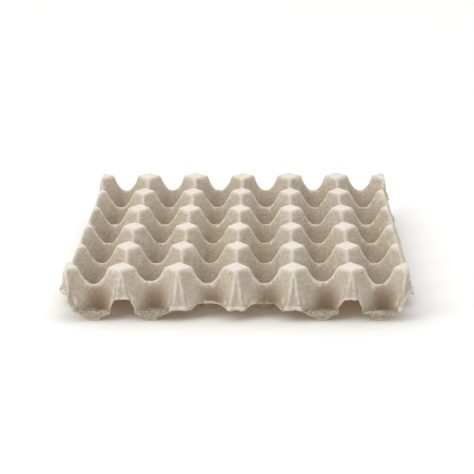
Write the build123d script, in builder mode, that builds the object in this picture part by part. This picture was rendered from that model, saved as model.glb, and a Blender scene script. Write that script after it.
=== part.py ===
"""Moulded pulp egg tray: one thin shell with a grid of cells, hollow posts and a trimmed skirt.

The shell is an upper form minus a core. The same tapered hollows are cut out of both, once at
their own size and once larger by the wall, so the wall is even everywhere.
Origin: middle of the floor under the tray. X runs along the long row of cells, Y along the
short one, +Z is up. Millimetres.
"""
import os
from math import atan, cos, radians, sin, sqrt, tan

from build123d import *

# grid of cells
COLUMNS = 6
ROWS = 5
PITCH_X = 47.0
PITCH_Y = 54.8

# overall
HEIGHT = 45.0
WALL = 1.8
OVERHANG_X = 9.0
OVERHANG_Y = 13.0

# flat diamond tops of the posts, full length along each axis
POST_X = 19.4
POST_Y = 24.0

# cells: floor as a share of the opening; corners are rounded to this much short of a full round
CELL_FLOOR_SHARE = 0.28
CELL_SQUARENESS = 1.0
CELL_FLOOR_RADIUS = 4.0

# hollows outside the edge posts, with tips rounded in the same way
HOLLOW_DRAFT = 8.0
HOLLOW_SQUARENESS = 1.0
LIP_HEIGHT = 11.5
POUCH_GAP = 11.0
POUCH_FLOOR = 6.0
POUCH_FRONT_RUN = 5.5

# outer wall, from the lip up to the post tops
SIDE_LEAN_X = 8.8
SIDE_LEAN_Y = 0.8
SIDE_RECESS = 4.0
SIDE_RECESS_END = 20.0
CORNER_CUT_LIP = 11.0
CORNER_CUT_TOP = 5.5

# V-shaped flute down the front of each post in the long edges: depth gained per half width
FLUTE_TOP = 3.0
FLUTE_BASE = 12.0
FLUTE_SLOPE = 0.45

# cuts in the skirt
NOTCH_TOP = 11.0
NOTCH_BASE = 19.0
NOTCH_HEIGHT = 19.5
NOTCH_DEPTH = 7.0
BITE_WIDTH = 28.0
BITE_HEIGHT = 13.0
BITE_RADIUS = 6.0
BITE_REACH = 2.0
BITE_SHIFT = 1.25
BITE_POST_WIDTH = 8.0
CORNER_NOTCH_HEIGHT = 24.0
CORNER_NOTCH_REACH = 28.0
CORNER_NOTCH_FLAT = 6.0
CORNER_NOTCH_DEPTH = 8.5

# working values: how far cutting shapes run past the tray, and the blocks they start from
MARGIN = 5.0
BELOW = 2 * MARGIN
CUP_BLANK = 3 * PITCH_Y
LEAST_SLANT = 0.1
HALF_GRID_X = COLUMNS * PITCH_X / 2
HALF_GRID_Y = ROWS * PITCH_Y / 2
HALF_X = HALF_GRID_X + OVERHANG_X
HALF_Y = HALF_GRID_Y + OVERHANG_Y
POST_EDGE = sqrt(POST_X**2 + POST_Y**2)
NORMAL_X = POST_Y / POST_EDGE
NORMAL_Y = POST_X / POST_EDGE
FLAT_DISTANCE = NORMAL_X * (PITCH_X - POST_X) / 2 + NORMAL_Y * PITCH_Y / 2
POUCH_WIDTH = PITCH_X - POUCH_GAP
POUCH_SIDE_RUN = (POUCH_WIDTH - POUCH_FLOOR) / 2
TRIM_HEIGHT = LIP_HEIGHT - WALL
COLUMN_CENTRES = [(i - (COLUMNS - 1) / 2) * PITCH_X for i in range(COLUMNS)]
STANDING = (Align.CENTER, Align.CENTER, Align.MIN)


def cell(grow):
    """Rounded diamond cup, wider at the top; grow moves every face out."""
    draft = atan((1 - CELL_FLOOR_SHARE) * FLAT_DISTANCE / (HEIGHT - WALL))
    distance = FLAT_DISTANCE + grow / cos(draft)
    floor = WALL - grow
    with BuildPart() as cup:
        with Locations((0, 0, floor)):
            Box(CUP_BLANK, CUP_BLANK, HEIGHT + MARGIN, align=STANDING)
        for side_x in (-1, 1):
            for side_y in (-1, 1):
                outward = (side_x * NORMAL_X * cos(draft), side_y * NORMAL_Y * cos(draft), -sin(draft))
                foot = (side_x * NORMAL_X * distance, side_y * NORMAL_Y * distance, HEIGHT)
                split(bisect_by=Plane(origin=foot, z_dir=outward), keep=Keep.BOTTOM)
        corners = cup.edges().filter_by(lambda edge: abs(edge.tangent_at(0).Z) > LEAST_SLANT)
        fillet(corners, CELL_FLOOR_SHARE * FLAT_DISTANCE - CELL_SQUARENESS + grow)
        fillet(cup.edges().group_by(Axis.Z)[0], CELL_FLOOR_RADIUS + grow)
    return cup.part


def edge_hollow(grow, floor, tip_axis):
    """Tapered hollow with one big rounded tip each way along tip_axis; grow moves its sides out."""
    draft = radians(HOLLOW_DRAFT)
    inset = (HEIGHT - floor) * tan(draft)
    distance = FLAT_DISTANCE + grow / cos(draft) - inset
    half_x = distance / NORMAL_X
    half_y = distance / NORMAL_Y
    with BuildPart() as hollow:
        with BuildSketch(Plane.XY.offset(floor)) as outline:
            Polygon((half_x, 0), (0, half_y), (-half_x, 0), (0, -half_y), align=None)
            tips = outline.vertices().sort_by(tip_axis)
            fillet([tips[0], tips[-1]], FLAT_DISTANCE - HOLLOW_SQUARENESS - inset + grow)
        extrude(amount=HEIGHT + MARGIN - floor, taper=-HOLLOW_DRAFT)
    return hollow.part


def long_edge_hollow(grow):
    """Edge hollow whose low end is a pouch, closed by a sloped front and two sloped sides."""
    front_slope = POUCH_FRONT_RUN / TRIM_HEIGHT
    side_slope = POUCH_SIDE_RUN / TRIM_HEIGHT
    lip_y = PITCH_Y / 2 - OVERHANG_Y - grow * sqrt(1 + front_slope**2)
    lip_x = POUCH_WIDTH / 2 + grow * sqrt(1 + side_slope**2)
    hollow = edge_hollow(grow, WALL - grow, Axis.Y)
    with BuildPart() as pouched:
        add(hollow)
        front = Plane(origin=(0, lip_y, LIP_HEIGHT), z_dir=(0, -1, -front_slope))
        split(bisect_by=front, keep=Keep.BOTTOM)
        for side in (-1, 1):
            flank = Plane(origin=(side * lip_x, 0, LIP_HEIGHT), z_dir=(side, 0, -side_slope))
            split(bisect_by=flank, keep=Keep.BOTTOM)
    return pouched.part


def flute(grow):
    """Groove with four flanks, so that it serves both long edges; grow moves every flank out."""
    with BuildPart() as groove:
        for height, width, lean in ((0, FLUTE_BASE, 0), (HEIGHT, FLUTE_TOP, SIDE_LEAN_Y)):
            reach = lean + grow + FLUTE_SLOPE * width / 2
            spread = reach / FLUTE_SLOPE
            with BuildSketch(Plane.XY.offset(height)):
                Polygon((spread, 0), (0, reach), (-spread, 0), (0, -reach), align=None)
        loft(ruled=True)
    return groove.part


def outer_form(shrink, low):
    """Block with cut corners whose outer wall leans in from the lip to the post tops.

    Between its corner posts each short side leans further in.
    """
    lip_x = HALF_X - shrink
    lip_y = HALF_Y - shrink
    rise = HEIGHT - LIP_HEIGHT
    corner_lean = SIDE_LEAN_X + SIDE_LEAN_Y + CORNER_CUT_TOP - CORNER_CUT_LIP
    corner_x = lip_x - CORNER_CUT_LIP / 2
    corner_y = lip_y - CORNER_CUT_LIP / 2
    with BuildPart() as form:
        with BuildSketch(Plane.XY.offset(low)):
            Rectangle(2 * lip_x, 2 * lip_y)
        extrude(amount=HEIGHT - shrink - low)
        for side in (-1, 1):
            lean_x = Plane(origin=(side * lip_x, 0, LIP_HEIGHT), z_dir=(side * rise, 0, SIDE_LEAN_X))
            lean_y = Plane(origin=(0, side * lip_y, LIP_HEIGHT), z_dir=(0, side * rise, SIDE_LEAN_Y))
            split(bisect_by=lean_x, keep=Keep.BOTTOM)
            split(bisect_by=lean_y, keep=Keep.BOTTOM)
            for end in (-1, 1):
                corner = (side * corner_x, end * corner_y, LIP_HEIGHT)
                facing = (side * rise, end * rise, corner_lean)
                split(bisect_by=Plane(origin=corner, z_dir=facing), keep=Keep.BOTTOM)
        with BuildSketch(Plane.XZ):
            for side in (-1, 1):
                Polygon(
                    (side * lip_x, LIP_HEIGHT),
                    (side * (lip_x - SIDE_LEAN_X - SIDE_RECESS), HEIGHT),
                    (side * (lip_x - SIDE_LEAN_X - SIDE_RECESS), HEIGHT + MARGIN),
                    (side * (lip_x + MARGIN), HEIGHT + MARGIN),
                    (side * (lip_x + MARGIN), LIP_HEIGHT),
                    align=None,
                )
        extrude(amount=HALF_GRID_Y - SIDE_RECESS_END + shrink, both=True, mode=Mode.SUBTRACT)
    return form.part


cell_spots = GridLocations(PITCH_X, PITCH_Y, COLUMNS, ROWS)
front_spots = [Location((x, -HALF_GRID_Y - PITCH_Y / 2, 0)) for x in COLUMN_CENTRES]
back_spots = [Location((x, HALF_GRID_Y + PITCH_Y / 2, 0), (0, 0, 180)) for x in COLUMN_CENTRES]
side_spots = GridLocations((COLUMNS + 1) * PITCH_X, PITCH_Y, 2, ROWS)
flute_spots = GridLocations(PITCH_X, 2 * HALF_Y, COLUMNS - 1, 2)

cell_void = cell(0)
cell_skin = cell(WALL)
trough_void = long_edge_hollow(0)
trough_skin = long_edge_hollow(WALL)
flute_void = flute(0)
flute_skin = flute(WALL)
niche_void = edge_hollow(0, LIP_HEIGHT, Axis.X)
niche_skin = edge_hollow(WALL, -BELOW, Axis.X)
block = outer_form(0, -MARGIN)
inner_block = outer_form(WALL, -BELOW)

# upper form: everything under the top surface
with BuildPart() as upper:
    add(block)
    with Locations(front_spots + back_spots):
        add(trough_void, mode=Mode.SUBTRACT)
    with side_spots:
        add(niche_void, mode=Mode.SUBTRACT)
    with flute_spots:
        add(flute_void, mode=Mode.SUBTRACT)
    with cell_spots:
        add(cell_void, mode=Mode.SUBTRACT)

# core: everything under the bottom surface, with a slab that trims the skirt below the lip
with BuildPart() as core:
    add(inner_block)
    with side_spots:
        add(niche_skin, mode=Mode.SUBTRACT)
    with flute_spots:
        add(flute_skin, mode=Mode.SUBTRACT)
    with Locations((0, 0, -BELOW)):
        Box(2 * HALF_X + MARGIN, 2 * HALF_Y + MARGIN, TRIM_HEIGHT + BELOW, align=STANDING)
    with Locations(front_spots + back_spots):
        add(trough_skin, mode=Mode.SUBTRACT)
    with cell_spots:
        add(cell_skin, mode=Mode.SUBTRACT)

# notch through the skirt in front of a post, drawn across the long edge
with BuildPart() as notch:
    with BuildSketch(Plane.XZ):
        Polygon(
            (-NOTCH_BASE / 2, LIP_HEIGHT),
            (-NOTCH_TOP / 2, NOTCH_HEIGHT),
            (NOTCH_TOP / 2, NOTCH_HEIGHT),
            (NOTCH_BASE / 2, LIP_HEIGHT),
            (NOTCH_BASE / 2, -BELOW),
            (-NOTCH_BASE / 2, -BELOW),
            align=None,
        )
    extrude(amount=NOTCH_DEPTH, both=True)

# finger bite in the skirt of a long edge: a round-topped cut, and a wide low one that takes
# the pouch away between the two posts
with BuildPart() as bite:
    with BuildSketch(Plane.XZ) as arch:
        with Locations((0, (BITE_HEIGHT - BELOW) / 2)):
            Rectangle(BITE_WIDTH, BITE_HEIGHT + BELOW)
        fillet(arch.vertices().group_by(Axis.Z)[-1], BITE_RADIUS)
    extrude(amount=OVERHANG_Y + BITE_REACH, both=True)
    with BuildSketch(Plane.XZ):
        with Locations((0, (TRIM_HEIGHT - BELOW) / 2)):
            Rectangle(PITCH_X - BITE_POST_WIDTH, TRIM_HEIGHT + BELOW)
    extrude(amount=OVERHANG_Y + BITE_REACH, both=True)

# raised trim round each corner: along the short edge, then across the corner to the first pouch
with BuildPart() as corner_notches:
    with BuildSketch(Plane.YZ.offset(HALF_X - CORNER_NOTCH_DEPTH - OVERHANG_X)):
        Polygon(
            (-HALF_GRID_Y, CORNER_NOTCH_HEIGHT),
            (-HALF_GRID_Y + CORNER_NOTCH_FLAT, CORNER_NOTCH_HEIGHT),
            (-HALF_GRID_Y + CORNER_NOTCH_REACH, TRIM_HEIGHT),
            (-HALF_GRID_Y + CORNER_NOTCH_REACH, -BELOW),
            (-HALF_GRID_Y, -BELOW),
            align=None,
        )
    extrude(amount=CORNER_NOTCH_DEPTH + OVERHANG_X + BELOW)
    with BuildSketch(Plane.XZ.offset(HALF_GRID_Y)):
        Polygon(
            (HALF_X + BELOW, CORNER_NOTCH_HEIGHT),
            (HALF_GRID_X, CORNER_NOTCH_HEIGHT),
            (HALF_GRID_X - POUCH_GAP / 2, LIP_HEIGHT),
            (HALF_GRID_X - POUCH_GAP / 2, -BELOW),
            (HALF_X + BELOW, -BELOW),
            align=None,
        )
    extrude(amount=OVERHANG_Y + BELOW)
    mirror(about=Plane.YZ)
    mirror(about=Plane.XZ)

# the tray itself, with the cuts in its skirt
notch_x = (COLUMNS / 2 - 1) * PITCH_X
notch_y = (ROWS / 2 - 1) * PITCH_Y
long_notch_spots = GridLocations(2 * notch_x, 2 * HALF_Y, 2, 2)
short_notch_spots = [
    Location((side * HALF_X, end * notch_y, 0), (0, 0, 90)) for side in (-1, 1) for end in (-1, 1)
]
bite_spots = GridLocations(PITCH_X - 2 * BITE_SHIFT, 2 * HALF_Y, 2, 2)
with BuildPart() as egg_tray:
    add(upper.part)
    add(core.part, mode=Mode.SUBTRACT)
    with long_notch_spots:
        add(notch.part, mode=Mode.SUBTRACT)
    with Locations(short_notch_spots):
        add(notch.part, mode=Mode.SUBTRACT)
    with bite_spots:
        add(bite.part, mode=Mode.SUBTRACT)
    add(corner_notches.part, mode=Mode.SUBTRACT)

egg_tray.part.label = "egg_tray"

os.makedirs("parts", exist_ok=True)
export_step(egg_tray.part, "parts/egg_tray.step")
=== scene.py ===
"""Moulded pulp egg tray on a pale studio floor.

The tray is one shell of moulded pulp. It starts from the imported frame's own tray, is remeshed
evenly, pulled out of true the way wet pulp is as it leaves the mould, and given a fibrous finish.
Everything is in metres: X runs along the rows of six cups, Y along the rows of five, Z is up.
"""
import math

import bpy
import numpy as np
from mathutils import Matrix, Vector


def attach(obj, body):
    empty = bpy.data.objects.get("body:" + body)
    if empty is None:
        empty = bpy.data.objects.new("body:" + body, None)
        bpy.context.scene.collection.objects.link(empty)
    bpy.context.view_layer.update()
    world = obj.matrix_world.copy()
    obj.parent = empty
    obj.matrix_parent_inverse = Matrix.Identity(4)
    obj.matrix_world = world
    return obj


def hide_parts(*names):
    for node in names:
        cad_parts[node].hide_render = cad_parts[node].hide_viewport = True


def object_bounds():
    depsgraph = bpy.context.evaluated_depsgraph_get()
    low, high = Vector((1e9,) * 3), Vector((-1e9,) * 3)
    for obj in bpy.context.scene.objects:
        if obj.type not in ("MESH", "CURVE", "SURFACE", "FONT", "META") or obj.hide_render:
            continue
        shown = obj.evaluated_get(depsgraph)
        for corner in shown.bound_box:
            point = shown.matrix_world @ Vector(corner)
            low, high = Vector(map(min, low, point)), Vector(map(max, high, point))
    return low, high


bl_info = {
    "name": "Moulded Pulp Egg Tray",
    "version": (1, 0, 0),
    "blender": (4, 5, 0),
    "location": "View3D > Sidebar > Egg Tray",
    "description": "Builds a moulded pulp egg tray and its studio stage around a packed frame",
    "category": "Add Mesh",
}

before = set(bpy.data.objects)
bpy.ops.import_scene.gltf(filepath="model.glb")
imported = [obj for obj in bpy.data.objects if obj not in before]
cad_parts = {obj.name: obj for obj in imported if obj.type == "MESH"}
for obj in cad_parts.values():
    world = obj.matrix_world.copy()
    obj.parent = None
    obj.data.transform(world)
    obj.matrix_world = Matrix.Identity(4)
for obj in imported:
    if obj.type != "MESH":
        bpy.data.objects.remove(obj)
bpy.context.view_layer.update()
CAD_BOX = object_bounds()

NODE = "egg_tray"

# the tray's own sizes, as it was drawn
COLUMNS = 6
ROWS = 5
PITCH_X = 0.047
PITCH_Y = 0.0548
HALF_GRID_X = COLUMNS * PITCH_X / 2
HALF_GRID_Y = ROWS * PITCH_Y / 2
HALF_SIDE = 0.150
TOP_Z = 0.045
LIP_Z = 0.0115
SIDE_LEAN = 0.263

# cuts in its skirt: notches at two posts a side, finger bites, and raised corners
NOTCH_X = (COLUMNS / 2 - 1) * PITCH_X
NOTCH_Y = (ROWS / 2 - 1) * PITCH_Y
NOTCH_Z = 0.0195
NOTCH_BASE = 0.019
NOTCH_RUN = 0.004
BITE_X = 0.02225
BITE_Z = 0.013
BITE_WIDTH = 0.028
CORNER_Z = 0.024
CORNER_RUN_X = 0.0055
CORNER_RUN_Y = 0.022
CORNER_FLAT_Y = 0.006
CORNER_REACH = 0.139
CORNER_LEAN = 0.122
CORNER_WAY = 0.7

# changes that the mould and the drying make to it, and where the painted shade in the hollows sits
RIM_PROUD = 0.0018
POUCH_NARROWING = 0.20
# shift along x of the painted shade's middle in each outer hollow, away from the key light at the upper
# left
PAINTED_SHADE_SHIFT = 0.0035
SCALLOP_FILL = 0.0022
SCALLOP_SAG = 0.0009
SCALLOP_LOW = 0.014
SCALLOP_HIGH = 0.0445
DENTS = ((-0.0042, -0.1430, 0.0401), (-0.0062, -0.1430, 0.0371))

CAMERA_PLACE = (0.0303, -1.2335, 0.4317)
CAMERA_PAN = math.radians(1.530)
CAMERA_DIP = math.radians(18.237)
CAMERA_ROLL = math.radians(-0.469)


def linear(hex_colour):
    """The linear RGB of an sRGB hex colour such as #C0B49F."""
    parts = [int(hex_colour[i : i + 2], 16) / 255 for i in (1, 3, 5)]
    return tuple(p / 12.92 if p <= 0.04045 else ((p + 0.055) / 1.055) ** 2.4 for p in parts)


class EggTrayShape(bpy.types.PropertyGroup):
    """How far the pulp strays from the drawing."""

    mesh_size: bpy.props.FloatProperty(
        name="Mesh size",
        description="Edge of the even mesh that the shell is rebuilt with",
        default=0.0009,
        unit="LENGTH",
    )
    softening: bpy.props.IntProperty(
        name="Softening",
        description="Smoothing passes that round the edges as wet pulp rounds them",
        default=2,
    )
    warp: bpy.props.FloatProperty(
        name="Warp",
        description="How far the whole sheet wanders as it dries",
        default=0.0016,
        unit="LENGTH",
    )
    lumps: bpy.props.FloatProperty(
        name="Lumps",
        description="Height of the thick and thin places in the sheet",
        default=0.0006,
        unit="LENGTH",
    )
    ragged: bpy.props.FloatProperty(
        name="Ragged edge",
        description="Height of the clotted fibre on the pouches and along the trimmed lip",
        default=0.0014,
        unit="LENGTH",
    )
    scallop_lift: bpy.props.FloatVectorProperty(
        name="Scallop lift",
        description="How far each front scallop stands above the others, from left to right",
        size=COLUMNS,
        default=(0.0002, 0.0028, 0.0008, 0.0006, 0.0024, 0.0004),
        unit="LENGTH",
    )
    triangles: bpy.props.IntProperty(
        name="Triangles",
        description="Most triangles that the finished shell may have",
        default=190000,
    )


class EggTrayFinish(bpy.types.PropertyGroup):
    """Colours of the pulp, and of its painted highlight and shade."""

    body: bpy.props.FloatVectorProperty(
        name="Pulp",
        description="Grey-beige of mixed recycled fibre",
        subtype="COLOR",
        default=linear("#BDB09C"),
    )
    damp: bpy.props.FloatVectorProperty(
        name="Patches",
        description="Slightly browner patches where the pulp dried last",
        subtype="COLOR",
        default=linear("#AFA089"),
    )
    # the pale tone of fibre clots and fibres, also used for the painted highlight on edges, post tops
    # and the lip
    pale_and_highlight: bpy.props.FloatVectorProperty(
        name="Pale fibre and highlight",
        description="Pale tone of fibre, also the painted highlight on post tops, edges and the lip",
        subtype="COLOR",
        default=linear("#DED8CE"),
    )
    # the brown of pits in the pulp, also used for the painted shade in the hollows
    pit_brown_and_shade: bpy.props.FloatVectorProperty(
        name="Pits and painted shade",
        description="Brown of pits in the pulp, also the painted shade in the hollows",
        subtype="COLOR",
        default=linear("#85705A"),
    )
    speck: bpy.props.FloatVectorProperty(
        name="Specks",
        description="Dark specks of ink and bark in the pulp",
        subtype="COLOR",
        default=linear("#6F6353"),
    )


class EggTrayStage(bpy.types.PropertyGroup):
    """Floor, light and camera."""

    floor: bpy.props.FloatVectorProperty(
        name="Floor",
        description="Colour of the studio floor",
        subtype="COLOR",
        default=linear("#D8DDE0"),
    )
    glow: bpy.props.FloatVectorProperty(
        name="Glow",
        description="Warm light that the floor gives off, which fills the shadow under the tray",
        subtype="COLOR",
        default=linear("#FFCE9C"),
    )
    glow_strength: bpy.props.FloatProperty(
        name="Glow strength",
        description="Strength of the floor's own light",
        default=0.125,
    )
    key_power: bpy.props.FloatProperty(
        name="Key light",
        description="Power of the softbox at the upper left",
        default=12.0,
        unit="POWER",
    )
    top_power: bpy.props.FloatProperty(
        name="Top light",
        description="Power of the softbox overhead",
        default=92.0,
        unit="POWER",
    )
    ambient: bpy.props.FloatProperty(
        name="Ambient",
        description="Strength of the white light from all round",
        default=0.73,
    )
    lens: bpy.props.FloatProperty(
        name="Lens",
        description="Focal length on a 36 mm sensor",
        default=107.586,
        unit="CAMERA",
    )


def add_node(tree, kind, inputs=None, **settings):
    """Adds a node with its settings, its socket values and its links."""
    made = tree.nodes.new(kind)
    for name, value in settings.items():
        setattr(made, name, value)
    for name, value in (inputs or {}).items():
        if isinstance(value, bpy.types.NodeSocket):
            tree.links.new(value, made.inputs[name])
        else:
            made.inputs[name].default_value = value
    return made


def activate(piece):
    """Makes a piece the only selected one, and the active one."""
    bpy.ops.object.select_all(action="DESELECT")
    piece.select_set(True)
    bpy.context.view_layer.objects.active = piece


def apply_modifier(piece, kind, **settings):
    """Adds a modifier to a piece and applies it."""
    modifier = piece.modifiers.new(kind.title(), kind)
    for name, value in settings.items():
        setattr(modifier, name, value)
    activate(piece)
    bpy.ops.object.modifier_apply(modifier=modifier.name)


def cloud(name, size, depth=2):
    """A cloud texture whose lumps are about size metres across."""
    texture = bpy.data.textures.new(name, "CLOUDS")
    texture.noise_scale = size
    texture.noise_depth = depth
    return texture


def mark(piece, name, weight):
    """A vertex group that holds weight(place) for each vertex."""
    group = piece.vertex_groups.new(name=name)
    levels = {}
    for vertex in piece.data.vertices:
        level = round(weight(vertex.co), 1)
        if level > 0:
            levels.setdefault(level, []).append(vertex.index)
    for level, indices in levels.items():
        group.add(indices, level, "REPLACE")
    return group


def pull(piece, centre, reach, offset, size):
    """Moves the vertices near centre by offset, and those within size of them in proportion."""
    activate(piece)
    bpy.ops.object.mode_set(mode="EDIT")
    bpy.ops.mesh.select_all(action="DESELECT")
    bpy.ops.object.mode_set(mode="OBJECT")
    for vertex in piece.data.vertices:
        vertex.select = all(abs(a - b) <= r for a, b, r in zip(vertex.co, centre, reach))
    bpy.ops.object.mode_set(mode="EDIT")
    bpy.ops.transform.translate(
        value=offset,
        use_proportional_edit=True,
        proportional_edit_falloff="SMOOTH",
        proportional_size=size,
    )
    bpy.ops.object.mode_set(mode="OBJECT")


def ramp(low, high, value):
    """0 below low, 1 above high, and smooth between."""
    share = min(1.0, max(0.0, (value - low) / (high - low)))
    return share * share * (3 - 2 * share)


def rise(beyond, run, top):
    """Height of the trim at a distance beyond the foot of a climb to top that takes run."""
    return LIP_Z + (top - LIP_Z) * min(1.0, max(0.0, beyond / run))


def in_bite(x):
    """Whether a place along a long side lies in one of its finger bites."""
    return abs(abs(x) - BITE_X) < BITE_WIDTH / 2


def lip_height(x):
    """Height of the trimmed edge of a long side: up over two notches, two bites and the corners."""
    from_notch = abs(abs(x) - NOTCH_X)
    if from_notch < NOTCH_BASE / 2:
        return rise(NOTCH_BASE / 2 - from_notch, NOTCH_RUN, NOTCH_Z)
    if in_bite(x):
        return BITE_Z
    return rise(abs(x) - HALF_GRID_X + CORNER_RUN_X, CORNER_RUN_X, CORNER_Z)


def side_lip_height(y):
    """Height of the trimmed edge of a short side: up over two notches and the corners."""
    from_notch = abs(abs(y) - NOTCH_Y)
    if from_notch < NOTCH_BASE / 2:
        return rise(NOTCH_BASE / 2 - from_notch, NOTCH_RUN, NOTCH_Z)
    return rise(abs(y) - HALF_GRID_Y + CORNER_FLAT_Y + CORNER_RUN_Y, CORNER_RUN_Y, CORNER_Z)


def trim_height(p):
    """Height of the trimmed edge nearest to a place."""
    return lip_height(p.x) if abs(p.y) > abs(p.x) else side_lip_height(p.y)


def outward(p):
    """How far out a place is, as if the outer wall stood upright, and which way is out there."""
    above = max(0.0, p.z - LIP_Z)
    x, y = abs(p.x), abs(p.y)
    sides = (
        (y, Vector((0, math.copysign(1, p.y), 0))),
        (x + SIDE_LEAN * above, Vector((math.copysign(1, p.x), 0, 0))),
        (
            x + y - CORNER_REACH + CORNER_LEAN * above,
            Vector((math.copysign(CORNER_WAY, p.x), math.copysign(CORNER_WAY, p.y), 0)),
        ),
    )
    return max(sides, key=lambda side: side[0])


def skirt_share(p):
    """1 on the pouches and just round the trimmed edge, and 0 on the tray above them."""
    at_wall = ramp(HALF_SIDE - 0.006, HALF_SIDE - 0.004, outward(p)[0])
    return at_wall * (1 - ramp(0.0005, 0.0020, p.z - trim_height(p)))


def lip_highlight_share(p):
    """1 on the trimmed lip, which gets a painted highlight, and 0 elsewhere."""
    at_wall = ramp(HALF_SIDE - 0.0038, HALF_SIDE - 0.0025, outward(p)[0])
    return at_wall * (1 - ramp(0.0012, 0.0022, abs(p.z - trim_height(p))))


def rim_step(p):
    """Step inwards of the wall beside the lip, which stands proud of it except in the bites."""
    out, way = outward(p)
    if in_bite(p.x) and way.x == 0:
        return Vector((0, 0, 0))
    above = p.z - trim_height(p)
    over_lip = ramp(0.0013, 0.0020, above) * (1 - ramp(0.004, 0.020, above))
    under_lip = ramp(0.0012, 0.0024, -above)
    at_wall = ramp(HALF_SIDE - 0.0045, HALF_SIDE - 0.0025, out)
    return way * (-RIM_PROUD * (over_lip + under_lip) * at_wall)


def narrow(p):
    """Shift along x that draws the long edges' pouches in to a small rounded foot."""
    low = (1 - ramp(0.0, LIP_Z - 0.001, p.z)) * ramp(HALF_SIDE - 0.010, HALF_SIDE - 0.007, abs(p.y))
    across = (p.x / PITCH_X + COLUMNS / 2) % 1 - 0.5
    return -POUCH_NARROWING * low * across * PITCH_X


def rounded(beside, lift=0.0):
    """How far a scallop's rim moves up at its foot and down on its flanks, so that it turns round."""
    foot = math.exp(-((beside / 0.0048) ** 2))
    flank = math.exp(-(((abs(beside) - 0.0090) / 0.0030) ** 2))
    return SCALLOP_FILL * foot - SCALLOP_SAG * flank + lift * math.exp(-((beside / 0.0085) ** 2))


def scallops(p, front_lifts):
    """Change in height that turns the V between two posts into a round scallop."""
    column = p.x / PITCH_X + COLUMNS / 2
    row = p.y / PITCH_Y + ROWS / 2
    from_x = (column % 1 - 0.5) * PITCH_X
    from_y = (row % 1 - 0.5) * PITCH_Y
    height = ramp(SCALLOP_LOW, SCALLOP_LOW + 0.012, p.z) * (1 - ramp(TOP_Z - 0.005, SCALLOP_HIGH, p.z))
    at_front = row < 0.12 and 0 <= column < COLUMNS
    lift = front_lifts[int(column)] if at_front else 0.0
    if abs(p.y) > HALF_GRID_Y:
        return height * rounded(from_x, lift)
    if abs(p.x) > HALF_GRID_X:
        return height * rounded(from_y)
    across = rounded(from_x, lift) * ramp(0.30, 0.46, abs(row % 1 - 0.5))
    along = rounded(from_y) * ramp(0.30, 0.46, abs(column % 1 - 0.5))
    return height * (across + along)


def reshape(piece, front_lifts):
    """Rounds the scallops, steps the wall in beside the lip, and draws the pouches in at the foot."""
    for vertex in piece.data.vertices:
        p = vertex.co.copy()
        shift = Vector((0, 0, 0))
        if SCALLOP_LOW < p.z < SCALLOP_HIGH:
            shift.z = scallops(p, front_lifts)
        if max(abs(p.x), abs(p.y)) > HALF_SIDE - 0.014 and p.z < TOP_Z - 0.002:
            shift += rim_step(p)
            shift.x += narrow(p)
        vertex.co = p + shift


def keep_in_box(piece):
    """Brings stray vertices back into the frame's box, so that the size holds."""
    low, high = CAD_BOX
    for vertex in piece.data.vertices:
        vertex.co = [min(max(c, a), b) for c, a, b in zip(vertex.co, low, high)]


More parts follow.
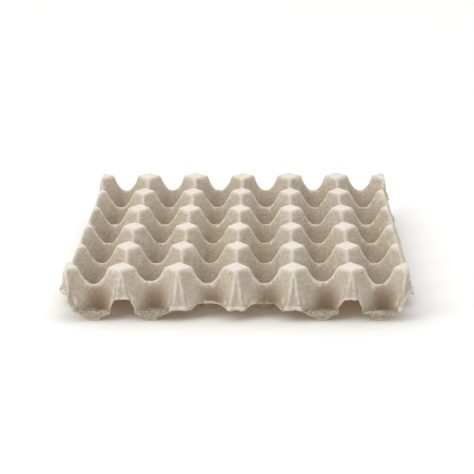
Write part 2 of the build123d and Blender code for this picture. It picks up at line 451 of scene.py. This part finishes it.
def moulded_pulp(finish):
    """Moulded pulp, felted wet on a wire screen: matt, grey-beige, with fibre and ink specks.

    It has no gloss at all. Pale fibre stands out of a slightly browner ground, edges, post
    tops and the lip get a painted highlight, and the hollows get painted brown shade.
    """
    material = bpy.data.materials.new("moulded_pulp")
    material.use_nodes = True
    tree = material.node_tree
    shader = tree.nodes["Principled BSDF"]
    place = add_node(tree, "ShaderNodeTexCoord").outputs["Object"]

    # patches about 35 mm across, where the sheet dried last
    patches = add_node(tree, "ShaderNodeTexNoise", {"Vector": place, "Scale": 1 / 0.035, "Detail": 3.0})
    patch_share = add_node(
        tree,
        "ShaderNodeMapRange",
        {"Value": patches.outputs["Fac"], "From Min": 0.40, "From Max": 0.64, "To Max": 0.55},
    )
    ground = add_node(
        tree,
        "ShaderNodeMix",
        {"Factor": patch_share.outputs["Result"], "A": (*finish.body, 1), "B": (*finish.damp, 1)},
        data_type="RGBA",
    )

    # clots of fibre about 2.5 mm across
    clots = add_node(
        tree,
        "ShaderNodeTexNoise",
        {"Vector": place, "Scale": 1 / 0.0025, "Detail": 4.0, "Roughness": 0.62},
    )
    clot_share = add_node(
        tree,
        "ShaderNodeMapRange",
        {"Value": clots.outputs["Fac"], "From Min": 0.36, "From Max": 0.66, "To Max": 0.30},
    )
    clotted = add_node(
        tree,
        "ShaderNodeMix",
        {"Factor": clot_share.outputs["Result"], "A": ground.outputs[2], "B": (*finish.pale_and_highlight, 1)},
        data_type="RGBA",
    )
    pit_share = add_node(
        tree,
        "ShaderNodeMapRange",
        {"Value": clots.outputs["Fac"], "From Min": 0.42, "From Max": 0.30, "To Max": 0.34},
    )
    pitted = add_node(
        tree,
        "ShaderNodeMix",
        {"Factor": pit_share.outputs["Result"], "A": clotted.outputs[2], "B": (*finish.pit_brown_and_shade, 1)},
        data_type="RGBA",
    )

    # single fibres, 5 mm long; real ones are 0.05 mm thick, and these 0.4 mm so that they show
    streaks = []
    for turn in ((0.4, 0.3, 0.5), (1.3, -0.5, 2.3), (-0.6, 1.1, 3.9)):
        laid = add_node(
            tree,
            "ShaderNodeMapping",
            {"Vector": place, "Rotation": turn, "Scale": (1 / 0.005, 1 / 0.0004, 1 / 0.0004)},
        )
        streak = add_node(
            tree, "ShaderNodeTexNoise", {"Vector": laid.outputs["Vector"], "Scale": 1.0, "Detail": 1.0}
        )
        streaks.append(
            add_node(
                tree,
                "ShaderNodeMapRange",
                {"Value": streak.outputs["Fac"], "From Min": 0.66, "From Max": 0.74},
            ).outputs["Result"]
        )
    first_two = add_node(tree, "ShaderNodeMath", {0: streaks[0], 1: streaks[1]}, operation="MAXIMUM")
    fibre = add_node(
        tree, "ShaderNodeMath", {0: first_two.outputs[0], 1: streaks[2]}, operation="MAXIMUM"
    )
    fibre_share = add_node(
        tree, "ShaderNodeMath", {0: fibre.outputs[0], 1: 0.45}, operation="MULTIPLY"
    )
    fibrous = add_node(
        tree,
        "ShaderNodeMix",
        {"Factor": fibre_share.outputs[0], "A": pitted.outputs[2], "B": (*finish.pale_and_highlight, 1)},
        data_type="RGBA",
    )

    # specks of ink and bark about 0.8 mm across, in about half of 6 mm cells
    spots = add_node(tree, "ShaderNodeTexVoronoi", {"Vector": place, "Scale": 1 / 0.006})
    spot_size = add_node(tree, "ShaderNodeSeparateColor", {"Color": spots.outputs["Color"]})
    spot_edge = add_node(
        tree,
        "ShaderNodeMapRange",
        {"Value": spot_size.outputs["Red"], "From Min": 0.45, "From Max": 1.0, "To Max": 0.11},
    )
    spot_share = add_node(
        tree,
        "ShaderNodeMath",
        {0: spots.outputs["Distance"], 1: spot_edge.outputs["Result"]},
        operation="LESS_THAN",
    )
    spot_depth = add_node(
        tree, "ShaderNodeMath", {0: spot_share.outputs[0], 1: 0.55}, operation="MULTIPLY"
    )
    specked = add_node(
        tree,
        "ShaderNodeMix",
        {"Factor": spot_depth.outputs[0], "A": fibrous.outputs[2], "B": (*finish.speck, 1)},
        data_type="RGBA",
    )

    # brown pits between the clots of the skirt
    skirt = add_node(tree, "ShaderNodeAttribute", attribute_name="crumpled")
    crumple_share = add_node(
        tree,
        "ShaderNodeMapRange",
        {"Value": clots.outputs["Fac"], "From Min": 0.56, "From Max": 0.38, "To Max": 0.35},
    )
    skirt_pits = add_node(
        tree,
        "ShaderNodeMath",
        {0: crumple_share.outputs["Result"], 1: skirt.outputs["Fac"]},
        operation="MULTIPLY",
    )
    crumpled = add_node(
        tree,
        "ShaderNodeMix",
        {"Factor": skirt_pits.outputs[0], "A": specked.outputs[2], "B": (*finish.pit_brown_and_shade, 1)},
        data_type="RGBA",
    )

    # painted brown shade in the hollows, and a painted highlight on edges, post tops and the lip
    painted_shade = add_node(tree, "ShaderNodeAttribute", attribute_name="painted_shade")
    with_painted_shade = add_node(
        tree,
        "ShaderNodeMix",
        {"Factor": painted_shade.outputs["Fac"], "A": crumpled.outputs[2], "B": (*finish.pit_brown_and_shade, 1)},
        data_type="RGBA",
    )
    painted_highlight = add_node(tree, "ShaderNodeAttribute", attribute_name="painted_highlight")
    finished = add_node(
        tree,
        "ShaderNodeMix",
        {"Factor": painted_highlight.outputs["Fac"], "A": with_painted_shade.outputs[2], "B": (*finish.pale_and_highlight, 1)},
        data_type="RGBA",
    )

    # relief: clots, then grain about 0.8 mm across, then fibres lying on top
    lumpy = add_node(tree, "ShaderNodeBump", {"Height": clots.outputs["Fac"], "Distance": 0.0012})
    grain = add_node(
        tree,
        "ShaderNodeTexNoise",
        {"Vector": place, "Scale": 1 / 0.0008, "Detail": 3.0, "Roughness": 0.7},
    )
    grainy = add_node(
        tree,
        "ShaderNodeBump",
        {"Height": grain.outputs["Fac"], "Distance": 0.0004, "Normal": lumpy.outputs["Normal"]},
    )
    fibrous_relief = add_node(
        tree,
        "ShaderNodeBump",
        {"Height": fibre.outputs[0], "Distance": 0.0001, "Normal": grainy.outputs["Normal"]},
    )
    crumple = add_node(
        tree,
        "ShaderNodeTexVoronoi",
        {"Vector": place, "Scale": 1 / 0.0022, "Detail": 1.0},
        feature="F1",
    )
    relief = add_node(
        tree,
        "ShaderNodeBump",
        {
            "Strength": skirt.outputs["Fac"],
            "Height": crumple.outputs["Distance"],
            "Distance": 0.0010,
            "Normal": fibrous_relief.outputs["Normal"],
        },
        invert=True,
    )
    tree.links.new(relief.outputs["Normal"], shader.inputs["Normal"])
    tree.links.new(finished.outputs[2], shader.inputs["Base Color"])
    shader.inputs["Roughness"].default_value = 0.95
    shader.inputs["Specular IOR Level"].default_value = 0.2
    return material


def painted_shade_share(p):
    """How much painted brown shade a place gets: most low down in the middle of the outer hollows, less
    low down in the inner cups.
    """
    low = 1 - ramp(0.014, 0.040, p.z)
    if max(abs(p.y) - HALF_GRID_Y, abs(p.x) - HALF_GRID_X) > 0:
        low *= ramp(LIP_Z - 0.0035, LIP_Z - 0.0020, p.z)
    if abs(p.y) > HALF_GRID_Y:
        beside = abs(((p.x - PAINTED_SHADE_SHIFT) / PITCH_X + COLUMNS / 2) % 1 - 0.5) * PITCH_X
        inside = 1 - ramp(HALF_SIDE - 0.0045, HALF_SIDE - 0.0015, abs(p.y))
    elif abs(p.x) > HALF_GRID_X:
        beside = abs((p.y / PITCH_Y + ROWS / 2) % 1 - 0.5) * PITCH_Y
        inside = 1 - ramp(HALF_SIDE - 0.0045, HALF_SIDE - 0.0015, abs(p.x))
    else:
        return 0.45 * low
    return low * inside * (1 - ramp(0.002, 0.017, beside))


def paint(piece, name, shares):
    """Stores one share a vertex, for the finish to read."""
    layer = piece.data.attributes.new(name, "FLOAT", "POINT")
    layer.data.foreach_set("value", shares)


def bulge(piece, rings=3):
    """How far each vertex stands out of the surface round it, in metres."""
    mesh = piece.data
    count = len(mesh.vertices)
    place = np.empty(count * 3)
    mesh.vertices.foreach_get("co", place)
    place = place.reshape(-1, 3)
    normal = np.empty(count * 3)
    mesh.vertices.foreach_get("normal", normal)
    ends = np.empty(len(mesh.edges) * 2, int)
    mesh.edges.foreach_get("vertices", ends)
    one, other = ends.reshape(-1, 2).T
    near = np.bincount(ends, minlength=count)[:, None]
    soft = place
    for _ in range(rings):
        total = np.zeros_like(soft)
        np.add.at(total, one, soft[other])
        np.add.at(total, other, soft[one])
        soft = total / near
    return ((place - soft) * normal.reshape(-1, 3)).sum(axis=1)


class EGG_TRAY_OT_shell(bpy.types.Operator):
    """Mould the tray's shell in pulp"""

    bl_idname = "egg_tray.shell"
    bl_label = "Mould Shell"

    def execute(self, context):
        shape = context.scene.egg_tray_shape
        shell = bpy.data.objects.new("pulp_tray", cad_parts[NODE].data.copy())
        context.scene.collection.objects.link(shell)
        shell.data.materials.clear()

        activate(shell)
        bpy.ops.object.mode_set(mode="EDIT")
        bpy.ops.mesh.select_all(action="SELECT")
        bpy.ops.mesh.remove_doubles(threshold=1e-6)
        bpy.ops.object.mode_set(mode="OBJECT")
        size = shape.mesh_size
        apply_modifier(shell, "REMESH", mode="VOXEL", voxel_size=size)
        reshape(shell, shape.scallop_lift)
        apply_modifier(shell, "SMOOTH", factor=0.5, iterations=shape.softening)

        # two thumb dents in the left flank of the middle front post
        for dent in DENTS:
            pull(shell, dent, (0.0016, 0.0060, 0.0005), (0, 0.0009, 0), 0.0015)

        # the sheet wanders as it dries, but its cup floors stay on the table
        mark(shell, "above_floor", lambda p: ramp(0.002, 0.020, p.z))
        for axis in "XYZ":
            apply_modifier(
                shell,
                "DISPLACE",
                texture=cloud("warp_" + axis, {"X": 0.036, "Y": 0.043, "Z": 0.039}[axis], 1),
                texture_coords="LOCAL",
                direction=axis,
                strength=shape.warp * (0.6 if axis == "Z" else 1),
                mid_level=0.5,
                vertex_group="above_floor",
            )
        apply_modifier(
            shell,
            "DISPLACE",
            texture=cloud("lumps", 0.007),
            texture_coords="LOCAL",
            strength=shape.lumps,
            mid_level=0.5,
        )

        # clotted fibre on the pouches and ragged fibre along the lip
        mark(shell, "skirt", skirt_share)
        for name, size in (("clots", 0.0045), ("fray", 0.0022)):
            apply_modifier(
                shell,
                "DISPLACE",
                texture=cloud(name, size),
                texture_coords="LOCAL",
                strength=shape.ragged,
                mid_level=0.55,
                vertex_group="skirt",
            )
        keep_in_box(shell)
        apply_modifier(shell, "DECIMATE", ratio=shape.triangles / (2 * len(shell.data.polygons)))
        keep_in_box(shell)
        activate(shell)
        bpy.ops.object.shade_smooth()

        # painted highlight: paler where the surface stands out at edges, on post tops and along the lip
        stand_out = bulge(shell)
        tops = np.array([ramp(TOP_Z - 0.0025, TOP_Z - 0.001, v.co.z) for v in shell.data.vertices])
        lip = np.array([lip_highlight_share(v.co) for v in shell.data.vertices])
        edges = np.clip((stand_out - 0.00008) / 0.0004, 0, 0.8)
        paint(shell, "painted_highlight", np.maximum.reduce([edges, 0.8 * tops, 0.9 * lip]))
        # painted shade: browner low down, most in the middle of the outer hollows
        paint(shell, "painted_shade", [painted_shade_share(v.co) for v in shell.data.vertices])
        paint(shell, "crumpled", [skirt_share(v.co) for v in shell.data.vertices])

        shell.data.materials.append(moulded_pulp(context.scene.egg_tray_finish))
        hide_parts(NODE)
        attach(shell, "root")
        return {"FINISHED"}


def softbox(name, place, target, size, power, colour):
    """A square area light at place, turned to target."""
    bpy.ops.object.light_add(type="AREA", location=place)
    light = bpy.context.object
    light.name = name
    light.data.size = size
    light.data.energy = power
    light.data.color = colour
    light.rotation_euler = (Vector(target) - Vector(place)).to_track_quat("-Z", "Y").to_euler()
    return light


class EGG_TRAY_OT_stage(bpy.types.Operator):
    """Lay the floor, hang the lights and set up the camera"""

    bl_idname = "egg_tray.stage"
    bl_label = "Set Stage"

    def execute(self, context):
        stage = context.scene.egg_tray_stage
        bpy.ops.mesh.primitive_plane_add(size=12, location=(0, 0, 0))
        floor = context.object
        floor.name = "floor"
        paper = bpy.data.materials.new("matt_backdrop_paper")
        paper.use_nodes = True
        shader = paper.node_tree.nodes["Principled BSDF"]
        shader.inputs["Base Color"].default_value = (*stage.floor, 1)
        shader.inputs["Roughness"].default_value = 1.0
        shader.inputs["Specular IOR Level"].default_value = 0.0
        shader.inputs["Emission Color"].default_value = (*stage.glow, 1)
        shader.inputs["Emission Strength"].default_value = stage.glow_strength
        floor.data.materials.append(paper)

        softbox("key", (-1.1, -0.9, 1.1), (0, 0, 0.02), 1.0, stage.key_power, linear("#FFFAF2"))
        softbox("top", (0.0, 1.4, 2.6), (0, 1.2, 0), 6.0, stage.top_power, linear("#FFFFFF"))

        world = bpy.data.worlds.new("studio")
        world.use_nodes = True
        sky = world.node_tree.nodes["Background"]
        sky.inputs["Color"].default_value = (1, 1, 1, 1)
        sky.inputs["Strength"].default_value = stage.ambient
        context.scene.world = world
        context.scene.view_settings.view_transform = "Standard"

        bpy.ops.object.camera_add()
        camera = context.object
        camera.data.sensor_width = 36
        camera.data.lens = stage.lens
        turn = Matrix.Rotation(CAMERA_PAN, 4, "Z")
        tilt = Matrix.Rotation(math.pi / 2 - CAMERA_DIP, 4, "X")
        roll = Matrix.Rotation(CAMERA_ROLL, 4, "Z")
        camera.matrix_world = Matrix.Translation(CAMERA_PLACE) @ turn @ tilt @ roll
        context.scene.camera = camera
        return {"FINISHED"}


class EGG_TRAY_PT_main(bpy.types.Panel):
    """Sizes, colours and the steps that build the tray"""

    bl_label = "Pulp Egg Tray"
    bl_idname = "EGG_TRAY_PT_main"
    bl_space_type = "VIEW_3D"
    bl_region_type = "UI"
    bl_category = "Egg Tray"

    def draw(self, context):
        for title, group, operator in (
            ("Shell", context.scene.egg_tray_shape, EGG_TRAY_OT_shell),
            ("Finish", context.scene.egg_tray_finish, None),
            ("Stage", context.scene.egg_tray_stage, EGG_TRAY_OT_stage),
        ):
            box = self.layout.box()
            box.label(text=title)
            for name in group.__annotations__:
                box.prop(group, name)
            if operator:
                box.operator(operator.bl_idname)


CLASSES = (
    EggTrayShape,
    EggTrayFinish,
    EggTrayStage,
    EGG_TRAY_OT_shell,
    EGG_TRAY_OT_stage,
    EGG_TRAY_PT_main,
)


def register():
    for kind in CLASSES:
        bpy.utils.register_class(kind)
    bpy.types.Scene.egg_tray_shape = bpy.props.PointerProperty(type=EggTrayShape)
    bpy.types.Scene.egg_tray_finish = bpy.props.PointerProperty(type=EggTrayFinish)
    bpy.types.Scene.egg_tray_stage = bpy.props.PointerProperty(type=EggTrayStage)


def unregister():
    del bpy.types.Scene.egg_tray_stage
    del bpy.types.Scene.egg_tray_finish
    del bpy.types.Scene.egg_tray_shape
    for kind in reversed(CLASSES):
        bpy.utils.unregister_class(kind)


def main():
    register()
    bpy.ops.egg_tray.shell()
    bpy.ops.egg_tray.stage()


if __name__ == "__main__":
    main()
